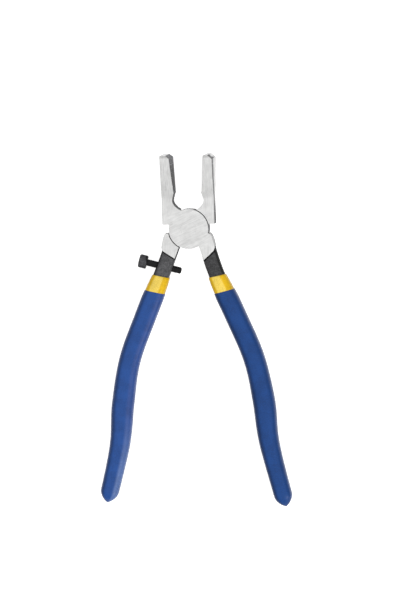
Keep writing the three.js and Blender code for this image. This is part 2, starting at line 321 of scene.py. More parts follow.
class Tree:
    """A node tree being wired up: add() makes a node, sets its values and joins its inputs."""

    def __init__(self, tree):
        self.tree = tree

    def add(self, kind, inputs=None, **settings):
        node = self.tree.nodes.new(kind)
        for key, value in settings.items():
            setattr(node, key, value)
        for key, value in (inputs or {}).items():
            socket = node.inputs[key]
            if isinstance(value, bpy.types.NodeSocket):
                self.join(value, socket)
            else:
                socket.default_value = value
        return node

    def join(self, output, socket):
        self.tree.links.new(output, socket)

    def math(self, operation, *values):
        return self.add("ShaderNodeMath", dict(enumerate(values)), operation=operation).outputs[0]

    def mix(self, factor, low, high):
        node = self.add("ShaderNodeMix", {0: factor, 2: low, 3: high}, data_type="FLOAT")
        return node.outputs[0]

    def blend(self, factor, low, high):
        """A colour between two others."""
        node = self.add("ShaderNodeMix", {0: factor, 6: low, 7: high}, data_type="RGBA")
        return node.outputs[2]

    def vector(self, operation, *values):
        node = self.add("ShaderNodeVectorMath", dict(enumerate(values)), operation=operation)
        return node.outputs[0]

    def scaled(self, vector, size):
        values = {0: vector, "Scale": size}
        return self.add("ShaderNodeVectorMath", values, operation="SCALE").outputs[0]

    def dot(self, first, second):
        values = {0: first, 1: second}
        return self.add("ShaderNodeVectorMath", values, operation="DOT_PRODUCT").outputs["Value"]

    def parts(self, vector):
        return self.add("ShaderNodeSeparateXYZ", {0: vector}).outputs

    def combined(self, x=0.0, y=0.0, z=0.0):
        return self.add("ShaderNodeCombineXYZ", {0: x, 1: y, 2: z}).outputs[0]

    def attribute(self, name):
        return self.add("ShaderNodeAttribute", attribute_name=name).outputs["Fac"]

    def weighed(self, first, share, second):
        """The sum of two values, the first with this share and the second with the rest."""
        rest = self.math("MULTIPLY", second, 1 - share)
        return self.math("ADD", self.math("MULTIPLY", first, share), rest)

    def span(self, value, low, high, to_low=0.0, to_high=1.0, smoothly=False):
        node = self.add(
            "ShaderNodeMapRange",
            {0: value, 1: low, 2: high, 3: to_low, 4: to_high},
            interpolation_type="SMOOTHSTEP" if smoothly else "LINEAR",
        )
        return node.outputs[0]


class Geometry(Tree):
    """A geometry node group with named inputs."""

    def __init__(self, name, sockets):
        super().__init__(bpy.data.node_groups.new(name, "GeometryNodeTree"))
        self.socket("Geometry", "INPUT", "Geometry")
        for label, kind, default in sockets:
            made = self.socket(label, "INPUT", kind)
            if default is not None:
                made.default_value = default
        self.socket("Geometry", "OUTPUT", "Geometry")
        self.inputs = self.add("NodeGroupInput").outputs

    def socket(self, name, way, kind):
        return self.tree.interface.new_socket(
            name=name, in_out=way, socket_type="NodeSocket" + kind
        )

    def named(self, name):
        node = self.add("GeometryNodeInputNamedAttribute", {"Name": name}, data_type="FLOAT")
        return node.outputs["Attribute"]

    def end(self, geometry):
        """Realizes the result, gives it the finish and joins it to the output."""
        real = self.add("GeometryNodeRealizeInstances", {"Geometry": geometry})
        shaded = self.add("GeometryNodeSetShadeSmooth", {"Geometry": real.outputs[0]})
        finish = {"Geometry": shaded.outputs[0], "Material": self.inputs["Finish"]}
        done = self.add("GeometryNodeSetMaterial", finish)
        self.add("NodeGroupOutput", {"Geometry": done.outputs[0]})

    def apply(self, piece, name, **values):
        """Runs the group on a piece and gives back the result as an object of plain mesh."""
        modifier = piece.modifiers.new(self.tree.name, "NODES")
        modifier.node_group = self.tree
        for item in self.tree.interface.items_tree:
            key = item.name.lower().replace(" ", "_")
            if item.item_type == "SOCKET" and item.in_out == "INPUT" and key in values:
                modifier[item.identifier] = values[key]
        piece.update_tag()
        return plain_copy(piece, name)


# ---- Handle line and sections ----

def handle_point(points, part):
    """A point on the smooth line through the points, at part 0 to 1 of its run."""
    place = part * (len(points) - 1)
    at = min(int(place), len(points) - 2)
    t = place - at
    p1, p2 = Vector(points[at]), Vector(points[at + 1])
    p0 = Vector(points[at - 1]) if at else p1
    p3 = Vector(points[at + 2]) if at + 2 < len(points) else p2
    v1, v2 = (p2 - p0) / 2, (p3 - p1) / 2
    bend = (2 * p1 - 2 * p2 + v1 + v2) * t**3 + (3 * (p2 - p1) - 2 * v1 - v2) * t**2
    return bend + v1 * t + p1


def handle_path(side):
    """Places along the centre line of one handle, in metres."""
    points = HANDLE_POINTS[side]
    across = SIDES[side]["across"]
    count = LINE_STEPS * (len(points) - 1)
    path = []
    for i in range(count + 1):
        x, y = handle_point(points, i / count)
        path.append(Vector((across * x * MM, y * MM, MIDDLE)))
    return path


def handle_length(side):
    path = handle_path(side)
    return sum((b - a).length for a, b in zip(path, path[1:]))


def handle_line(side):
    """The centre line of one handle as a curve object."""
    path = handle_path(side)
    curve = bpy.data.curves.new("handle_line_" + side, "CURVE")
    curve.dimensions = "3D"
    spline = curve.splines.new("POLY")
    spline.points.add(len(path) - 1)
    for point, place in zip(spline.points, path):
        point.co = (*place, 1)
    return new_object(curve.name, curve)


def unrolled_sleeve(name, rows, columns):
    """A grid whose rows carry (distance along, inset, shrink), all lengths in metres.

    Its columns carry their turn round the handle, and their place across it, which is -1 on
    its left edge and 1 on its right. The grid's own places only keep its points apart.
    """
    points = []
    faces = []
    for r, row in enumerate(rows):
        for c in range(columns):
            points.append((row[0], c * MM, r * MM / 10))
            if r:
                after = (c + 1) % columns
                low, high = (r - 1) * columns, r * columns
                faces.append((low + c, low + after, high + after, high + c))
    mesh = bpy.data.meshes.new(name)
    mesh.from_pydata(points, [], faces)
    turns = [2 * math.pi * c / columns for c in range(columns)]
    carried = {
        "along": [row[0] for row in rows for _ in turns],
        "inset": [row[1] for row in rows for _ in turns],
        "shrink": [row[2] for row in rows for _ in turns],
        "turn": [turn for _ in rows for turn in turns],
        "across": [math.cos(turn) for _ in rows for turn in turns],
    }
    for key, values in carried.items():
        mesh.attributes.new(key, "FLOAT", "POINT").data.foreach_set("value", values)
    return new_object(name, mesh)


def profile_curve(group, along, keys):
    """A half size read from keys in millimetres at a distance in metres."""
    node = group.add("ShaderNodeFloatCurve")
    points = node.mapping.curves[0].points
    scaled = [(x / PROFILE_REACH, y / PROFILE_TOP) for x, y in keys]
    while len(points) < len(scaled):
        points.new(0.5, 0.5)
    for point, place in zip(points, scaled):
        point.location = place
        point.handle_type = "AUTO_CLAMPED"
    node.mapping.update()
    part = group.math("DIVIDE", along, PROFILE_REACH * MM)
    group.join(part, node.inputs["Value"])
    return group.math("MULTIPLY", node.outputs[0], PROFILE_TOP * MM)


def wrap_group():
    """Wraps an unrolled sleeve round a handle's centre line, with its rounded section."""
    group = Geometry("Wrap Along Handle", [
        ("Handle Line", "Object", None),
        ("Section Power", "Float", 3.2),
        ("Mouth Lean", "Float", 0.0),
        ("Lean Start", "Float", 0.026),
        ("Lean Length", "Float", 0.016),
        ("Ripple Height", "Float", 0.0),
        ("Ripple Scale", "Float", 120.0),
        ("Seed", "Float", 1.0),
        ("Finish", "Material", None),
    ])
    given = group.inputs
    along, inset = group.named("along"), group.named("inset")
    shrink, turn = group.named("shrink"), group.named("turn")
    source = group.add("GeometryNodeObjectInfo", {"Object": given["Handle Line"]})
    line = group.add(
        "GeometryNodeSampleCurve",
        {"Curves": source.outputs["Geometry"], "Length": along},
        mode="LENGTH",
    )
    tangent = group.parts(line.outputs["Tangent"])
    square = group.combined(group.math("MULTIPLY", tangent[1], -1.0), tangent[0])
    past = group.math("SUBTRACT", along, given["Lean Start"])
    fade = group.span(group.math("DIVIDE", past, given["Lean Length"]), 0.0, 1.0, 1.0, 0.0, True)
    across = group.add(
        "ShaderNodeVectorRotate",
        {"Vector": square, "Angle": group.math("MULTIPLY", fade, given["Mouth Lean"])},
        rotation_type="Z_AXIS",
    ).outputs[0]

    power = group.math("DIVIDE", 2.0, given["Section Power"])

    def reach(trigonometry, keys):
        """Signed offset of a point of the section along one of its two axes."""
        value = group.math(trigonometry, turn)
        size = group.math("SUBTRACT", profile_curve(group, along, keys), inset)
        rounded = group.math("POWER", group.math("ABSOLUTE", value), power)
        offset = group.math("MULTIPLY", group.math("MULTIPLY", size, shrink), rounded)
        return group.math("MULTIPLY", offset, group.math("SIGN", value))

    sideways = group.scaled(across, reach("COSINE", HALF_WIDTHS))
    height = group.combined(z=reach("SINE", HALF_THICKNESSES))
    offset = group.vector("ADD", sideways, height)
    place = group.vector("ADD", line.outputs["Position"], offset)
    noise = group.add(
        "ShaderNodeTexNoise",
        {"Vector": place, "W": given["Seed"], "Scale": given["Ripple Scale"], "Detail": 2.0},
        noise_dimensions="4D",
    ).outputs[0]
    swell = group.math("MULTIPLY", group.math("SUBTRACT", noise, 0.5), given["Ripple Height"])
    outward = group.vector("NORMALIZE", offset)
    ripple = group.scaled(outward, group.math("MULTIPLY", swell, shrink))
    moved = group.add(
        "GeometryNodeSetPosition",
        {"Geometry": given["Geometry"], "Position": group.vector("ADD", place, ripple)},
    )
    merged = group.add(
        "GeometryNodeMergeByDistance", {"Geometry": moved.outputs[0], "Distance": 1e-7}
    )
    group.end(merged.outputs[0])
    return group


def wrapped(side, name, rows, columns, material, power, ripple, seed):
    """A finished layer of one handle, from its unrolled rows in millimetres."""
    line = handle_line(side)
    sleeve = unrolled_sleeve(name, [(a * MM, i * MM, s) for a, i, s in rows], columns)
    lean = MOUTH_LEAN * SIDES[side]["across"]
    piece = wrap_group().apply(
        sleeve, name, handle_line=line, section_power=power, mouth_lean=lean,
        ripple_height=ripple * MM, seed=seed, finish=material,
    )
    bpy.data.objects.remove(line)
    face_outwards(piece.data)
    smooth(piece.data, math.radians(50))
    return piece


def face_outwards(mesh):
    work = bmesh.new()
    work.from_mesh(mesh)
    bmesh.ops.recalc_face_normals(work, faces=work.faces)
    work.to_mesh(mesh)
    work.free()


def even_steps(start, stop, step):
    """Numbers from start to stop, as near to a step apart as whole steps allow."""
    count = max(1, round((stop - start) / step))
    return [start + (stop - start) * i / count for i in range(count + 1)]


# ---- Materials ----

def material(name):
    """A new material, its tree ready for wiring, and its shader."""
    made = bpy.data.materials.new(name)
    made.use_nodes = True
    tree = Tree(made.node_tree)
    shader = made.node_tree.nodes["Principled BSDF"]
    return made, tree, shader


def object_space(tree, scale=(1, 1, 1), rotation=(0, 0, 0)):
    """Object coordinates, turned and stretched for a pattern."""
    coordinates = tree.add("ShaderNodeTexCoord").outputs["Object"]
    values = {"Vector": coordinates, "Scale": scale, "Rotation": rotation}
    return tree.add("ShaderNodeMapping", values).outputs[0]


def noise(tree, vector, scale, detail=3.0, roughness=0.5):
    values = {"Vector": vector, "Scale": scale, "Detail": detail, "Roughness": roughness}
    return tree.add("ShaderNodeTexNoise", values).outputs[0]


def ramp(tree, factor, stops):
    """A colour or grey ramp through (position, colour) stops."""
    node = tree.add("ShaderNodeValToRGB", {"Fac": factor})
    elements = node.color_ramp.elements
    while len(elements) < len(stops):
        elements.new(0.5)
    for element, (position, colour) in zip(elements, stops):
        element.position = position
        element.color = (*colour, 1) if len(colour) == 3 else colour
    return node.outputs["Color"]


def grey(value):
    return (value, value, value)


def link(tree, output, shader, name):
    tree.join(output, shader.inputs[name])


def bump(tree, shader, heights, distance):
    """Joins heights, each with its strength, into the shader's normal."""
    normal = None
    for height, strength in heights:
        values = {"Height": height, "Strength": strength, "Distance": distance}
        if normal is not None:
            values["Normal"] = normal
        normal = tree.add("ShaderNodeBump", values).outputs[0]
    link(tree, normal, shader, "Normal")


def forged_steel(settings):
    """The head's steel: ground faces with belt lines, and forging skin on the other walls.

    The mesh's "ground" attribute is 1 on ground faces and 0 on the dark walls. The belt lines
    run up the jaws and slant across the disc. The skin is rubbed on the left jaw's upper part,
    and a thin paler line crosses it on both jaws.
    """
    disc_slant = math.radians(-24)
    disc_end, jaws_start = 11.5 * MM, 16 * MM
    rubbed_start, rubbed_full, line_height = 31 * MM, 39 * MM, 36 * MM
    made, tree, shader = material("forged_steel")
    jaws = noise(tree, object_space(tree, (1900, 110, 600)), 1.0, 5.0, 0.75)
    slanted = object_space(tree, rotation=(0, 0, disc_slant))
    stretched = tree.vector("MULTIPLY", slanted, (110, 1700, 600))
    disc = noise(tree, stretched, 1.0, 5.0, 0.75)
    flat = tree.vector("MULTIPLY", object_space(tree), (1, 1, 0))
    length = tree.add("ShaderNodeVectorMath", {0: flat}, operation="LENGTH").outputs["Value"]
    on_jaws = tree.span(length, disc_end, jaws_start, smoothly=True)
    grain = tree.mix(on_jaws, disc, jaws)
    cloud = noise(tree, object_space(tree), 260.0, 4.0, 0.55)
    tone = tree.weighed(grain, 0.7, cloud)
    low = [c * 0.72 for c in settings.steel_colour]
    bright = ramp(tree, tone, [(0.34, low), (0.62, settings.steel_colour)])

    mottle = noise(tree, object_space(tree), 1100.0, 5.0, 0.65)
    patch = noise(tree, object_space(tree), 300.0, 3.0, 0.5)
    skin_tone = tree.weighed(mottle, 0.6, patch)
    wear_and_highlight_colour = [c * 4 for c in settings.raw_colour]
    bare = [c * 15 for c in settings.raw_colour]
    place = tree.parts(object_space(tree))
    left = tree.span(place[0], 1 * MM, 0.0, 0.0, 0.08)
    wear_and_highlight_mask = tree.math("MULTIPLY", left, tree.span(place[1], rubbed_start, rubbed_full))
    from_line = tree.math("ABSOLUTE", tree.math("SUBTRACT", place[1], line_height))
    line = tree.span(from_line, 0.15 * MM, 0.4 * MM, 0.12, 0.0)
    wear = tree.math("ADD", tree.math("ADD", skin_tone, wear_and_highlight_mask), line)
    dark = ramp(tree, wear, [(0.46, settings.raw_colour), (0.54, wear_and_highlight_colour), (0.62, bare)])

    share = tree.span(tree.attribute("ground"), 0.0, 1.0)
    normal = tree.add("ShaderNodeNewGeometry").outputs["True Normal"]
    upright = tree.math("ABSOLUTE", tree.parts(normal)[2])
    dimmed = tree.span(upright, 0.2, 0.5, 0.8, 1.0)
    ground = tree.math("MULTIPLY", share, dimmed)
    link(tree, tree.blend(ground, dark, bright), shader, "Base Color")
    link(tree, tree.mix(ground, 0.2, 0.92), shader, "Metallic")
    shader.inputs["Specular IOR Level"].default_value = 0.25
    polish = tree.span(tone, 0.35, 0.65, 0.5, 0.34)
    rough = tree.span(mottle, 0.3, 0.7, 0.68, 0.48)
    link(tree, tree.mix(ground, rough, polish), shader, "Roughness")
    height = tree.mix(ground, mottle, grain)
    bump(tree, shader, [(height, 0.3), (cloud, 0.08)], 0.12 * MM)
    return made


def black_oxide(name, colour, polish, shine, outer=None, head_edge=None):
    """Blackened steel: an even dark finish with fine sparkle and soft patches.

    On a shank the outer side is darkened as painted shade, and a band at its start by the step is
    darkened as a painted shadow of the step: outer is the side of that edge, the step's place and the
    direction across it. Left of head_edge, in metres, the upward faces are painted paler as a
    highlight: that is the screw's head.
    """
    made, tree, shader = material(name)
    fine = noise(tree, object_space(tree), 1500.0, 5.0, 0.75)
    patch = noise(tree, object_space(tree), 480.0, 3.0, 0.5)
    tone = tree.weighed(fine, 0.65, patch)
    light = [min(1, c * 2.6) for c in colour]
    shade = ramp(tree, tone, [(0.42, colour), (0.6, light)])
    # Painted shade: the outer side, turned from the light, and a band just past the step, where the head's shadow
    # falls, are darkened to 0.15 of the black with less specular.
    if outer:
        side, corner, away = outer
        outwards = tree.math("MULTIPLY", tree.attribute("across"), side)
        on_face = tree.span(outwards, 0.5, 0.85, 1.0, 0.0)
        past = tree.vector("SUBTRACT", object_space(tree), tuple(corner))
        distance = tree.dot(past, tuple(away))
        unshaded_share = tree.math("MULTIPLY", on_face, tree.span(distance, 0.6 * MM, 1.1 * MM))
        shade = tree.blend(unshaded_share, (*(c * 0.15 for c in colour), 1), shade)
        link(tree, tree.mix(unshaded_share, shine * 0.2, shine), shader, "Specular IOR Level")
    # Painted highlight: on the screw's head the upward faces are painted paler, with more specular, standing in for
    # the overhead light's reflection.
    if head_edge is not None:
        on_head = tree.span(tree.parts(object_space(tree))[0], head_edge, head_edge - 0.6 * MM)
        normal = tree.add("ShaderNodeNewGeometry").outputs["Normal"]
        facing_up = tree.span(tree.parts(normal)[2], 0.55, 0.95, smoothly=True)
        wear_and_highlight_mask = tree.math("MULTIPLY", on_head, facing_up)
        wear_and_highlight_colour = ramp(tree, tone, [(0.4, light), (0.6, [min(1, c * 20) for c in colour])])
        shade = tree.blend(wear_and_highlight_mask, shade, wear_and_highlight_colour)
        link(tree, tree.mix(wear_and_highlight_mask, shine * 0.3, shine), shader, "Specular IOR Level")
    link(tree, shade, shader, "Base Color")
    link(tree, tree.span(fine, 0.3, 0.7, polish + 0.12, polish - 0.1), shader, "Roughness")
    bump(tree, shader, [(fine, 0.45), (patch, 0.4)], 0.12 * MM)
    return made


def dipped_vinyl(name, face_colour, edges, shading_spans, gloss, wear_and_highlight_colour=None):
    """Dipped vinyl: a soft gloss over faint ripples and pores, with painted shading by each edge.

    Edges are the colours by the left and the right edge, painted darker as shade or lighter as a
    highlight, and the spans given next the places across the handle where each starts and is full.
    The colour given last is that of the right edge under a painted highlight, near the handle's end.
    """
    made, tree, shader = material(name)
    shader.inputs["Specular IOR Level"].default_value = 0.2 + 0.3 * gloss
    shader.inputs["Coat Weight"].default_value = gloss
    shader.inputs["Coat Roughness"].default_value = 0.28
    broad = noise(tree, object_space(tree), 150.0, 3.0, 0.5)
    pores = noise(tree, object_space(tree), 1500.0, 5.0, 0.7)
    waves = noise(tree, object_space(tree, (1, 0.5, 1)), 620.0, 3.0, 0.5)
    tone = tree.weighed(broad, 0.4, pores)

    def shaded(colour):
        return ramp(tree, tone, [(0.4, [c * 0.74 for c in colour]), (0.56, colour)])

    shade = shaded(face_colour)
    across = tree.attribute("across")
    down = tree.parts(object_space(tree))[1]
    # Painted shading: each edge is blended into its own colour, darker as painted shade or lighter as a painted
    # highlight.
    for colour, (start, full) in zip(edges, shading_spans):
        edge = shaded(colour)
        # Painted highlight: near the end of the left handle its inner edge turns to a paler colour.
        if wear_and_highlight_colour and full > 0:
            highlit = tree.span(down, HIGHLIGHT_START, HIGHLIGHT_FULL, smoothly=True)
            edge = tree.blend(highlit, edge, shaded(wear_and_highlight_colour))
        shade = tree.blend(tree.span(across, start, full, smoothly=True), shade, edge)
    link(tree, shade, shader, "Base Color")
    link(tree, tree.span(waves, 0.3, 0.7, 0.5, 0.34), shader, "Roughness")
    bump(tree, shader, [(waves, 0.22), (pores, 0.14)], 0.25 * MM)
    return made


def painted_floor(settings):
    """A pale, matt tabletop with the faintest unevenness."""
    made, tree, shader = material("pale_table")
    cloud = noise(tree, object_space(tree), 9.0, 3.0, 0.5)
    pale = settings.floor_colour
    tinted = [c * 0.985 for c in pale]
    link(tree, ramp(tree, cloud, [(0.35, tinted), (0.65, pale)]), shader, "Base Color")
    link(tree, tree.span(cloud, 0.3, 0.7, 0.75, 0.65), shader, "Roughness")
    shader.inputs["Specular IOR Level"].default_value = 0.1
    shader.inputs["Emission Color"].default_value = (1, 1, 1, 1)
    shader.inputs["Emission Strength"].default_value = settings.table_glow
    return made


def studio_sky(world, settings):
    """White light from all round, strongest overhead and faint from beside and below."""
    world.use_nodes = True
    tree = Tree(world.node_tree)
    sky = world.node_tree.nodes["Background"]
    direction = tree.add("ShaderNodeTexCoord").outputs["Generated"]
    middle = (0, math.sin(settings.sky_lean), math.cos(settings.sky_lean))
    place = tree.span(tree.dot(direction, middle), -1.0, 1.0)
    overhead, beside, below = settings.overhead, settings.beside, settings.below
    top = max(overhead, 1.0)
    stops = [(0.45, grey(below / top)), (0.54, grey(beside / top)), (0.97, grey(overhead / top))]
    tree.join(ramp(tree, place, stops), sky.inputs["Color"])
    sky.inputs["Strength"].default_value = top


# ---- Settings ----

def colour_setting(name, text, default):
    return bpy.props.FloatVectorProperty(
        name=name, description=text, default=default, size=3, min=0, max=1, subtype="COLOR"
    )


def light_setting(name, text, default):
    return bpy.props.FloatProperty(name=name, description=text, default=default, min=0)


def length_setting(name, text, default):
    return bpy.props.FloatProperty(
        name=name, description=text, default=default, min=0, unit="LENGTH", precision=5
    )


class SteelSettings(bpy.types.PropertyGroup):
    edge_round: length_setting("Edge round", "Width of the broken edges of the head", 0.28 * MM)
    steel_colour: colour_setting("Ground steel", "Colour of the ground faces", (0.695, 0.695, 0.69))
    raw_colour: colour_setting("Raw steel", "Colour of the unground faces", (0.013, 0.013, 0.014))
    # The two shank blacks are lit and shaded copies of one finish: the left is painted lighter, the right darker, as
    # painted light and shade.
    left_shank: colour_setting("Left shank", "Black of the left shank", (0.038, 0.038, 0.04))
    right_shank: colour_setting("Right shank", "Black of the right shank", (0.022, 0.022, 0.023))


class ScrewSettings(bpy.types.PropertyGroup):
    pitch: length_setting("Pitch", "Distance from one thread to the next", 0.7 * MM)
    thread_depth: length_setting("Thread depth", "From nominal radius to root", 0.26 * MM)
    ribs: bpy.props.IntProperty(
        name="Ribs", description="Knurled ribs round the screw's head", default=44, min=0
    )
    colour: colour_setting("Screw", "Colour of the blackened screw", (0.005, 0.005, 0.0055))


class DipSettings(bpy.types.PropertyGroup):
    ripple: length_setting("Ripple", "Unevenness of the dipped surface", 0.09 * MM)
    # The two blues are lit and shaded copies of one vinyl: the right one is painted darker than the left, as painted
    # shade.
    left_blue: colour_setting("Left blue", "Left over-dip", (0.0123, 0.066, 0.268))
    left_inner_highlight: colour_setting("Left inner", "Left over-dip's inner edge", (0.028, 0.072, 0.26))
    # The left inner edge's colour is a painted highlight.
    left_painted_highlight: colour_setting("Left worn", "That edge where it is scuffed", (0.085, 0.15, 0.36))
    right_blue: colour_setting("Right blue", "Right over-dip", (0.0053, 0.0495, 0.21))
    # The under-dips' face colour is painted paler than their edges, a painted sheen from the overhead light.
    yellow: colour_setting("Yellow", "Both under-dips", (0.88, 0.64, 0.105))
    yellow_edge: colour_setting("Yellow edge", "Edges of the under-dips", (0.74, 0.45, 0.001))


class StageSettings(bpy.types.PropertyGroup):
    floor_colour: colour_setting("Table", "Colour of the tabletop", (0.92, 0.92, 0.92))
    table_glow: light_setting("Table glow", "Light from the tabletop itself", 0.6)
    overhead: light_setting("Overhead", "Light from overhead", 1.24)
    beside: light_setting("Beside", "Light from beside", 0.4)
    below: light_setting("Below", "Light from below", 0.15)
    key_power: light_setting("Key power", "Power of the key light in watts", 14.5)
    sky_lean: bpy.props.FloatProperty(
        name="Sky lean", description="Lean of the overhead light towards the jaws",
        default=math.radians(8), subtype="ANGLE"
    )
    camera_distance: length_setting("Camera distance", "From the camera to the tool", 6)


# ---- Forged halves ----

def step_plane(side):
    """A place on the step at the head's end, and the direction across it to the shank."""
    across = SIDES[side]["across"]
    outer, inner = (Vector((across * x * MM, y * MM, 0)) for x, y in STEP_LINES[side])
    along = (inner - outer).normalized()
    away = Vector((along.y, -along.x, 0))
    return outer, away if away.y < 0 else -away


def head_mesh(side, width):
    """The ground head of one half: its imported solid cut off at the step, its edges broken."""
    work = bmesh.new()
    work.from_mesh(frame["nodes"][SIDES[side]["node"]].data)
    bmesh.ops.remove_doubles(work, verts=work.verts, dist=1e-6)
    outer, away = step_plane(side)
    everything = work.verts[:] + work.edges[:] + work.faces[:]
    cut = bmesh.ops.bisect_plane(
        work, geom=everything, dist=1e-7, plane_co=outer + away * 0.05 * MM, plane_no=away,
        clear_outer=True,
    )
    rim = [item for item in cut["geom_cut"] if isinstance(item, bmesh.types.BMEdge)]
    bmesh.ops.holes_fill(work, edges=rim)
    bmesh.ops.remove_doubles(work, verts=work.verts, dist=2e-5)
    bmesh.ops.dissolve_limit(
        work, angle_limit=math.radians(1), verts=work.verts, edges=work.edges
    )
    break_edges(work, width)
    bmesh.ops.triangulate(work, faces=work.faces)
    mesh = bpy.data.meshes.new("head_" + side)
    work.to_mesh(mesh)
    work.free()
    return mesh


def break_edges(work, width):
    """Rounds the head's sharp edges, except round the rivet, whose end is ground flush."""
    sharp = []
    for edge in work.edges:
        if len(edge.link_faces) != 2 or edge.calc_face_angle(0) < math.radians(28):
            continue
        middle = (edge.verts[0].co + edge.verts[1].co) / 2
        if math.hypot(middle.x, middle.y) > RIVET_SEAT:
            sharp.append(edge)
    bmesh.ops.bevel(
        work, geom=sharp, offset=width, offset_type="OFFSET", segments=2, profile=0.6,
        affect="EDGES", clamp_overlap=True,
    )


def ground_share(normal, corner, outwards):
    """How bright a face is ground at one of its corners: 1 on ground faces, 0 on raw walls.

    Past 1, a face is fully bright before the corner is reached, and its dark edge is narrower.
    Below 0 it is dark before the corner is reached, and its dark edge is wider. Outwards is
    the side of the tool that the half's jaw is on.
    """
    upright = abs(normal.z)
    facing_out = normal.x * outwards
    on_flank = corner.y > FLANK_FOOT and abs(corner.x) > FLANK_OUT
    near_tip = corner.y > TIP_FOOT
    near_front = corner.z > MIDDLE
    if on_flank and facing_out > 0.25 and outwards > 0 and 0.2 < upright < 0.97:
        return 0.1
    if upright > 0.6 or near_tip and normal.y > 0.85:
        return 1.0
    if near_tip and facing_out > 0.3 and normal.y > 0.3:
        return -1.4 if near_front else 1.2
    if on_flank and facing_out > 0.6:
        along = min(1.0, max(0.0, (corner.y / MM - 6) / 20))
        return 0.05 - 0.8 * along if near_front else 0.05 + 2.8 * along
    if outwards > 0 and corner.y < 0 and (facing_out < -0.2 or normal.y > 0.6):
        return 0.75
    if outwards < 0 and (corner.y < -2.5 * MM and normal.x > 0.3):
        return 0.6
    if 6 * MM < corner.y < 12 * MM and normal.y > 0.6 and normal.x < 0.2:
        return 0.75
    return 0.0


def mark_ground_faces(mesh, side):
    """Writes the "ground" attribute, which tells the finish of each face's corners.

    A half's jaw is on the other side of the tool from its handle.
    """
    outwards = -SIDES[side]["across"]
    values = []
    for face in mesh.polygons:
        for loop in face.loop_indices:
            corner = mesh.vertices[mesh.loops[loop].vertex_index].co
            values.append(ground_share(face.normal, corner, outwards))
    layer = mesh.attributes.new("ground", "FLOAT", "CORNER")
    layer.data.foreach_set("value", values)


def shank_rows():
    """The forged shank: closed at both ends, and drawn in a little where it meets the head."""
    body = [(s, STEEL_INSET, 1) for s in even_steps(0.2, SHANK_REACH, 0.5)]
    return [(0, STEEL_INSET, 0), (0, STEEL_INSET, 0.97), *body, (SHANK_REACH, STEEL_INSET, 0)]


class PLIERS_OT_halves(bpy.types.Operator):
    """Adds the two forged halves: each a ground head and a blackened shank"""

    bl_idname = "pliers.halves"
    bl_label = "Forged Halves"

    def execute(self, context):
        settings = context.scene.pliers_steel
        steel = forged_steel(settings)
        for side, half in SIDES.items():
            body, node = half["body"], half["node"]
            mesh = head_mesh(side, settings.edge_round)
            mesh.materials.append(steel)
            mark_ground_faces(mesh, side)
            smooth(mesh, math.radians(12))
            finish_piece(new_object("head_" + side, mesh), body, node, "ground_steel")
            # The black of each side carries painted light and shade: the left lighter, the right darker.
            colour = getattr(settings, side + "_shank")
            # Each shank gets painted shade on its outer side and a painted shadow at the step.
            outer = (half["across"], *step_plane(side))
            black = black_oxide(
                "blackened_shank_" + side, colour, polish=0.5, shine=0.22, outer=outer
            )
            shank = wrapped(
                side, "shank_" + side, shank_rows(), columns=64, material=black,
                power=STEEL_POWER, ripple=SHANK_RIPPLE, seed=5.0,
            )
            finish_piece(shank, body, node, "ground_steel")
        return {"FINISHED"}


# ---- Rivet ----

class PLIERS_OT_rivet(bpy.types.Operator):
    """Adds the pivot rivet, its ends ground flush with the joint"""

    bl_idname = "pliers.rivet"
    bl_label = "Pivot Rivet"

    def execute(self, context):
        top = JOINT_TOP / MM
        mesh = skin("rivet", [
            ring(0, RIVET_RADIUS - RIVET_EDGE),
            ring(RIVET_EDGE, RIVET_RADIUS),
            ring(top - RIVET_EDGE, RIVET_RADIUS),
            ring(top, RIVET_RADIUS - RIVET_EDGE),
        ])
        mesh.materials.append(bpy.data.materials["forged_steel"])
        ground = mesh.attributes.new("ground", "FLOAT", "CORNER")
        ground.data.foreach_set("value", [1.0] * len(mesh.loops))
        smooth(mesh, math.radians(12))
        finish_piece(new_object("rivet", mesh), "front_half", "pivot_rivet", "rivet_steel")
        return {"FINISHED"}


# ---- Stop screw ----

def screw_core(root_radius):
    """The screw's body on the Z axis, head up: a root cylinder, a head and its hexagon socket.

    All in millimetres: the head's radius, the places of its underside, its top and the screw's
    far end, then half the socket's width over its flats and the socket's depth.
    """
    head, under, top, end = 3.6, 10.1, 14.6, -9.5
    flats, depth = 1.5, 2.3

    def hexagon(apothem):
        return lambda turn: apothem / math.cos((turn % (math.pi / 3)) - math.pi / 6)

    return skin("screw_core", [
        ring(end, root_radius - 0.55),
        ring(end + 0.5, root_radius),
        ring(under - 0.25, root_radius),
        ring(under - 0.2, 2.0),
        ring(under, 2.15),
        ring(under, head - 0.15),
        ring(under + 0.15, head),
        ring(top - 0.45, head),
        ring(top - 0.16, head - 0.12),
        ring(top, head - 0.42),
        ring(top, hexagon(flats + 0.12)),
        ring(top - 0.12, hexagon(flats)),
        ring(top - depth, hexagon(flats)),
        ring(top - depth - 0.5, 0.2),
    ])


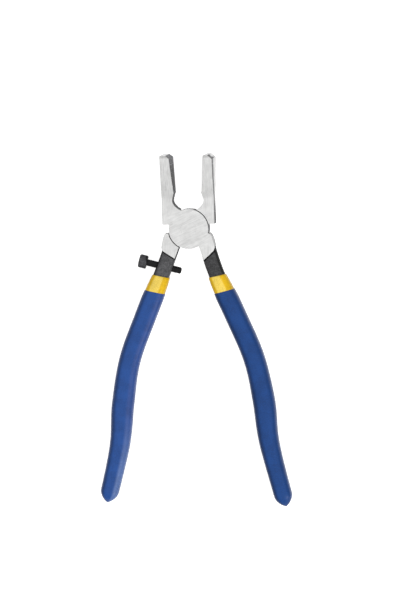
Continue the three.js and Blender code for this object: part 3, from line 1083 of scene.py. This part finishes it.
def screw_group():
    """Adds a helical thread and a knurled band of ribs to a screw's core.

    The thread's flat side is outwards, and stands half the ridge's height above the root.
    """
    group = Geometry("Thread And Knurl", [
        ("Pitch", "Float", 0.7 * MM),
        ("Ridge Height", "Float", 0.24 * MM),
        ("Root Radius", "Float", 1.74 * MM),
        ("Thread Start", "Float", -9.0 * MM),
        ("Thread Length", "Float", 19.0 * MM),
        ("Ribs", "Int", 44),
        ("Rib Radius", "Float", 0.17 * MM),
        ("Rib Circle", "Float", 3.58 * MM),
        ("Rib Length", "Float", 3.5 * MM),
        ("Rib Middle", "Float", 12.25 * MM),
        ("Finish", "Material", None),
    ])
    given = group.inputs
    turns = group.math("DIVIDE", given["Thread Length"], given["Pitch"])
    helix = group.add(
        "GeometryNodeCurveSpiral",
        {"Resolution": 40, "Rotations": turns, "Start Radius": given["Root Radius"],
         "End Radius": given["Root Radius"], "Height": given["Thread Length"]},
    ).outputs[0]
    crest = group.add(
        "GeometryNodeCurvePrimitiveCircle", {"Resolution": 3, "Radius": 1.0}, mode="RADIUS"
    ).outputs[0]
    across = group.math("MULTIPLY", given["Pitch"], 0.48)
    section = group.combined(given["Ridge Height"], across, 1.0)
    ridge = group.add("GeometryNodeTransform", {"Geometry": crest, "Scale": section}).outputs[0]
    normal = group.add("GeometryNodeSetCurveNormal", {"Curve": helix}, mode="Z_UP").outputs[0]
    thread = group.add(
        "GeometryNodeCurveToMesh", {"Curve": normal, "Profile Curve": ridge, "Fill Caps": True}
    ).outputs[0]
    start = group.combined(z=given["Thread Start"])
    threaded = group.add(
        "GeometryNodeTransform", {"Geometry": thread, "Translation": start}
    ).outputs[0]
    rib = group.add(
        "GeometryNodeMeshCylinder",
        {"Vertices": 6, "Radius": given["Rib Radius"], "Depth": given["Rib Length"]},
    ).outputs["Mesh"]
    places = group.add(
        "GeometryNodeMeshCircle", {"Vertices": given["Ribs"], "Radius": given["Rib Circle"]}
    ).outputs[0]
    ribs = group.add(
        "GeometryNodeInstanceOnPoints", {"Points": places, "Instance": rib}
    ).outputs[0]
    rise = group.combined(z=given["Rib Middle"])
    knurl = group.add("GeometryNodeTransform", {"Geometry": ribs, "Translation": rise}).outputs[0]
    joined = group.add("GeometryNodeJoinGeometry")
    for part in (given["Geometry"], threaded, knurl):
        group.join(part, joined.inputs[0])
    group.end(joined.outputs[0])
    return group


class PLIERS_OT_screw(bpy.types.Operator):
    """Adds the socket-head stop screw with its thread, knurled head and hexagon socket"""

    bl_idname = "pliers.screw"
    bl_label = "Stop Screw"

    def execute(self, context):
        settings = context.scene.pliers_screw
        # The screw's black carries a painted highlight on the upward faces of its head.
        black = black_oxide(
            "blackened_screw", settings.colour, polish=0.36, shine=0.5, head_edge=SCREW_HEAD_EDGE
        )
        root = SCREW_RADIUS - settings.thread_depth / MM
        core = new_object("screw_core", screw_core(root))
        screw = screw_group().apply(
            core, "stop_screw", pitch=settings.pitch,
            ridge_height=settings.thread_depth * RIDGE_SIZE, root_radius=root * MM,
            ribs=settings.ribs, finish=black,
        )
        x, y = SCREW_CROSSING
        place = Matrix.Translation((x * MM, y * MM, MIDDLE))
        turned = Matrix.Rotation(-SCREW_DIP, 4, "Z") @ Matrix.Rotation(math.radians(-90), 4, "Y")
        screw.data.transform(place @ turned)
        face_outwards(screw.data)
        smooth(screw.data)
        finish_piece(screw, "stop_screw", "adjusting_screw", "black_screw")
        return {"FINISHED"}


# ---- Dipped handles ----

def under_dip_rows():
    """The yellow layer: a thin upper edge that swells, then runs on under the blue."""
    start = UNDER_START
    edge = [(start + 2.5, 1.9, 0), (start + 2.5, 1.9, 1), (start + 0.1, 1.9, 1),
            (start, 1.72, 1), (start + 0.06, 1.52, 1), (start + 0.2, 1.38, 1),
            (start + 0.5, 1.27, 1), (start + 1.1, 1.16, 1)]
    swell = [(s, 0.58 + 0.58 * (1 - (s - start - 1.1) / 8.3) ** 1.6, 1)
             for s in even_steps(start + 1.6, start + 9.3, 0.5)]
    hidden = [(start + 11, 0.9, 1), (start + 20, 1.0, 1), (start + 20, 1.0, 0)]
    return edge + swell + hidden


def grip_rows(length):
    """The blue layer: a rounded upper lip, the long grip, and a drip-shaped end."""
    start = OVER_START
    taper = 7.0
    lip = [(start + 3, 0.95, 0), (start + 3, 0.95, 1), (start + 0.3, 0.95, 1),
           (start + 0.08, 0.78, 1), (start, 0.6, 1), (start + 0.06, 0.44, 1),
           (start + 0.22, 0.33, 1), (start + 0.5, 0.27, 1), (start + 1.0, 0.22, 1)]
    settle = [(s, 0.22 * (1 - (s - start - 1) / 5) ** 2, 1)
              for s in even_steps(start + 1.6, start + 6, 0.6)]
    body = [(s, 0.0, 1) for s in even_steps(start + 6.8, length - taper, 0.8)]
    end = []
    steps = 22
    for i in range(1, steps + 1):
        part = math.sin(math.pi / 2 * i / steps)
        end.append((length - taper * (1 - part) - 1e-4, 0.0, max(0.0, 1 - part**2) ** 0.8))
    end[-1] = (length - 1e-4, 0.0, 0.0)
    return lip + settle + body + end


class PLIERS_OT_handles(bpy.types.Operator):
    """Adds the dipped layers of both handles: the yellow under-dip and the blue over-dip"""

    bl_idname = "pliers.handles"
    bl_label = "Dipped Handles"

    def execute(self, context):
        settings = context.scene.pliers_dip
        # Lit and shaded copies of one blue: the right is painted darker as shade.
        left, right = settings.left_blue, settings.right_blue
        # The yellow's face is paler than its edges: a painted sheen.
        yellow = dipped_vinyl(
            "yellow_vinyl", settings.yellow, [settings.yellow_edge] * 2, EDGE_SHADING_SPANS["yellow"],
            gloss=0.08,
        )
        # Each blue's edges are painted shade (0.58 and 0.82 of the blue), except the left's inner edge, which is a
        # painted highlight.
        blues = {
            "left": dipped_vinyl(
                "left_blue_vinyl", left, [[c * 0.58 for c in left], settings.left_inner_highlight],
                # The left inner edge gets a painted highlight near the handle's end.
                EDGE_SHADING_SPANS["left"], gloss=0.05, wear_and_highlight_colour=settings.left_painted_highlight,
            ),
            "right": dipped_vinyl(
                "right_blue_vinyl", right, [[c * 0.58 for c in right], [c * 0.82 for c in right]],
                EDGE_SHADING_SPANS["right"], gloss=0.04,
            ),
        }
        ripple = settings.ripple / MM
        for side, seed in (("right", 11.0), ("left", 23.0)):
            body = SIDES[side]["body"]
            dip = wrapped(
                side, "under_layer_" + side, under_dip_rows(), columns=72, material=yellow,
                power=DIP_POWER, ripple=ripple, seed=seed,
            )
            finish_piece(dip, body, "under_dip_" + side, "yellow_dip")
            layer = wrapped(
                side, "over_layer_" + side, grip_rows(handle_length(side) / MM), columns=96,
                material=blues[side], power=DIP_POWER, ripple=ripple, seed=seed + 4,
            )
            finish_piece(layer, body, "grip_" + side, "blue_dip")
        return {"FINISHED"}


# ---- Stage ----

def table_plane(pieces):
    """Height and slope of the table the tool lies on: it touches a jaw tip and the grips."""
    corners = [v.co for piece in pieces for v in piece.data.vertices]
    front = min((p for p in corners if p.y > 30 * MM), key=lambda p: p.z)
    slopes = [(p.z - front.z) / (front.y - p.y) for p in corners if p.y < -40 * MM]
    return front, min(slopes)


def area_light(name, place, aim, size, power):
    lamp = bpy.data.lights.new(name, "AREA")
    lamp.shape = "DISK"
    lamp.size = size
    lamp.energy = power
    lit = bpy.data.objects.new(name, lamp)
    lit.location = place
    lit.rotation_euler = (Vector(aim) - Vector(place)).to_track_quat("-Z", "Y").to_euler()
    bpy.context.scene.collection.objects.link(lit)


def add_camera(distance):
    """A long lens nearly overhead, leaning towards the right and the jaws."""
    target = Vector((CAMERA_TARGET[0] * MM, CAMERA_TARGET[1] * MM, MIDDLE))
    lean = Vector((math.tan(CAMERA_LEAN[0]), math.tan(CAMERA_LEAN[1]), 1))
    place = target + lean.normalized() * distance
    back = (place - target).normalized()
    up = Vector((math.sin(CAMERA_ROLL), math.cos(CAMERA_ROLL), 0))
    up = (up - back * up.dot(back)).normalized()
    right = up.cross(back)
    lens = bpy.data.cameras.new("camera")
    lens.sensor_fit = "VERTICAL"
    lens.sensor_height = 24
    lens.lens = lens.sensor_height * (place - target).length / SEEN_HEIGHT
    lens.clip_end = 50
    camera = bpy.data.objects.new("camera", lens)
    basis = Matrix((right, up, back)).transposed().to_4x4()
    camera.matrix_world = Matrix.Translation(place) @ basis
    bpy.context.scene.collection.objects.link(camera)
    bpy.context.scene.camera = camera


class PLIERS_OT_stage(bpy.types.Operator):
    """Adds the table, the soft studio light and the camera"""

    bl_idname = "pliers.stage"
    bl_label = "Stage"

    def execute(self, context):
        settings = context.scene.pliers_stage
        front, slope = table_plane(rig.pieces())
        mesh = bpy.data.meshes.new("table")
        corners = []
        for across, up in ((-1, -1), (1, -1), (1, 1), (-1, 1)):
            x, y = across * TABLE_HALF, up * TABLE_HALF
            corners.append((x, y, front.z + (front.y - y) * slope - TABLE_GAP))
        mesh.from_pydata(corners, [], [(0, 1, 2, 3)])
        mesh.materials.append(painted_floor(settings))
        table = new_object("table", mesh)
        table.visible_diffuse = False
        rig.stage(table)

        world = bpy.data.worlds.new("studio")
        context.scene.world = world
        studio_sky(world, settings)
        area_light("key", KEY_PLACE, KEY_AIM, KEY_WIDTH, settings.key_power)
        add_camera(settings.camera_distance)
        context.scene.view_settings.view_transform = "Standard"
        return {"FINISHED"}


# ---- Panel and registration ----

class PLIERS_PT_sidebar(bpy.types.Panel):
    """Lists the pieces of the pliers and their settings"""

    bl_idname = "PLIERS_PT_sidebar"
    bl_label = "Running Pliers"
    bl_space_type = "VIEW_3D"
    bl_region_type = "UI"
    bl_category = "Running Pliers"

    def draw(self, context):
        for operator, group in STEPS:
            box = self.layout.box()
            box.operator(operator.bl_idname)
            settings = getattr(context.scene, group) if group else None
            for key in settings.bl_rna.properties.keys() if settings else ():
                if key not in ("rna_type", "name"):
                    box.prop(settings, key)


STEPS = (
    (PLIERS_OT_halves, "pliers_steel"),
    (PLIERS_OT_rivet, None),
    (PLIERS_OT_screw, "pliers_screw"),
    (PLIERS_OT_handles, "pliers_dip"),
    (PLIERS_OT_stage, "pliers_stage"),
)

GROUPS = {
    "pliers_steel": SteelSettings,
    "pliers_screw": ScrewSettings,
    "pliers_dip": DipSettings,
    "pliers_stage": StageSettings,
}

CLASSES = (*GROUPS.values(), *(operator for operator, _ in STEPS), PLIERS_PT_sidebar)


def register():
    for cls in CLASSES:
        bpy.utils.register_class(cls)
    for name, group in GROUPS.items():
        setattr(bpy.types.Scene, name, bpy.props.PointerProperty(type=group))


def unregister():
    for name in GROUPS:
        delattr(bpy.types.Scene, name)
    for cls in reversed(CLASSES):
        bpy.utils.unregister_class(cls)


def main():
    register()
    bpy.ops.pliers.halves()
    bpy.ops.pliers.rivet()
    bpy.ops.pliers.screw()
    bpy.ops.pliers.handles()
    bpy.ops.pliers.stage()
    boxes = {"cad": CAD_BOX, "visual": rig.bounds()}
    with open(SIZE_FILE, "w") as file:
        json.dump({key: [list(corner) for corner in box] for key, box in boxes.items()}, file)


if __name__ == "__main__":
    main()
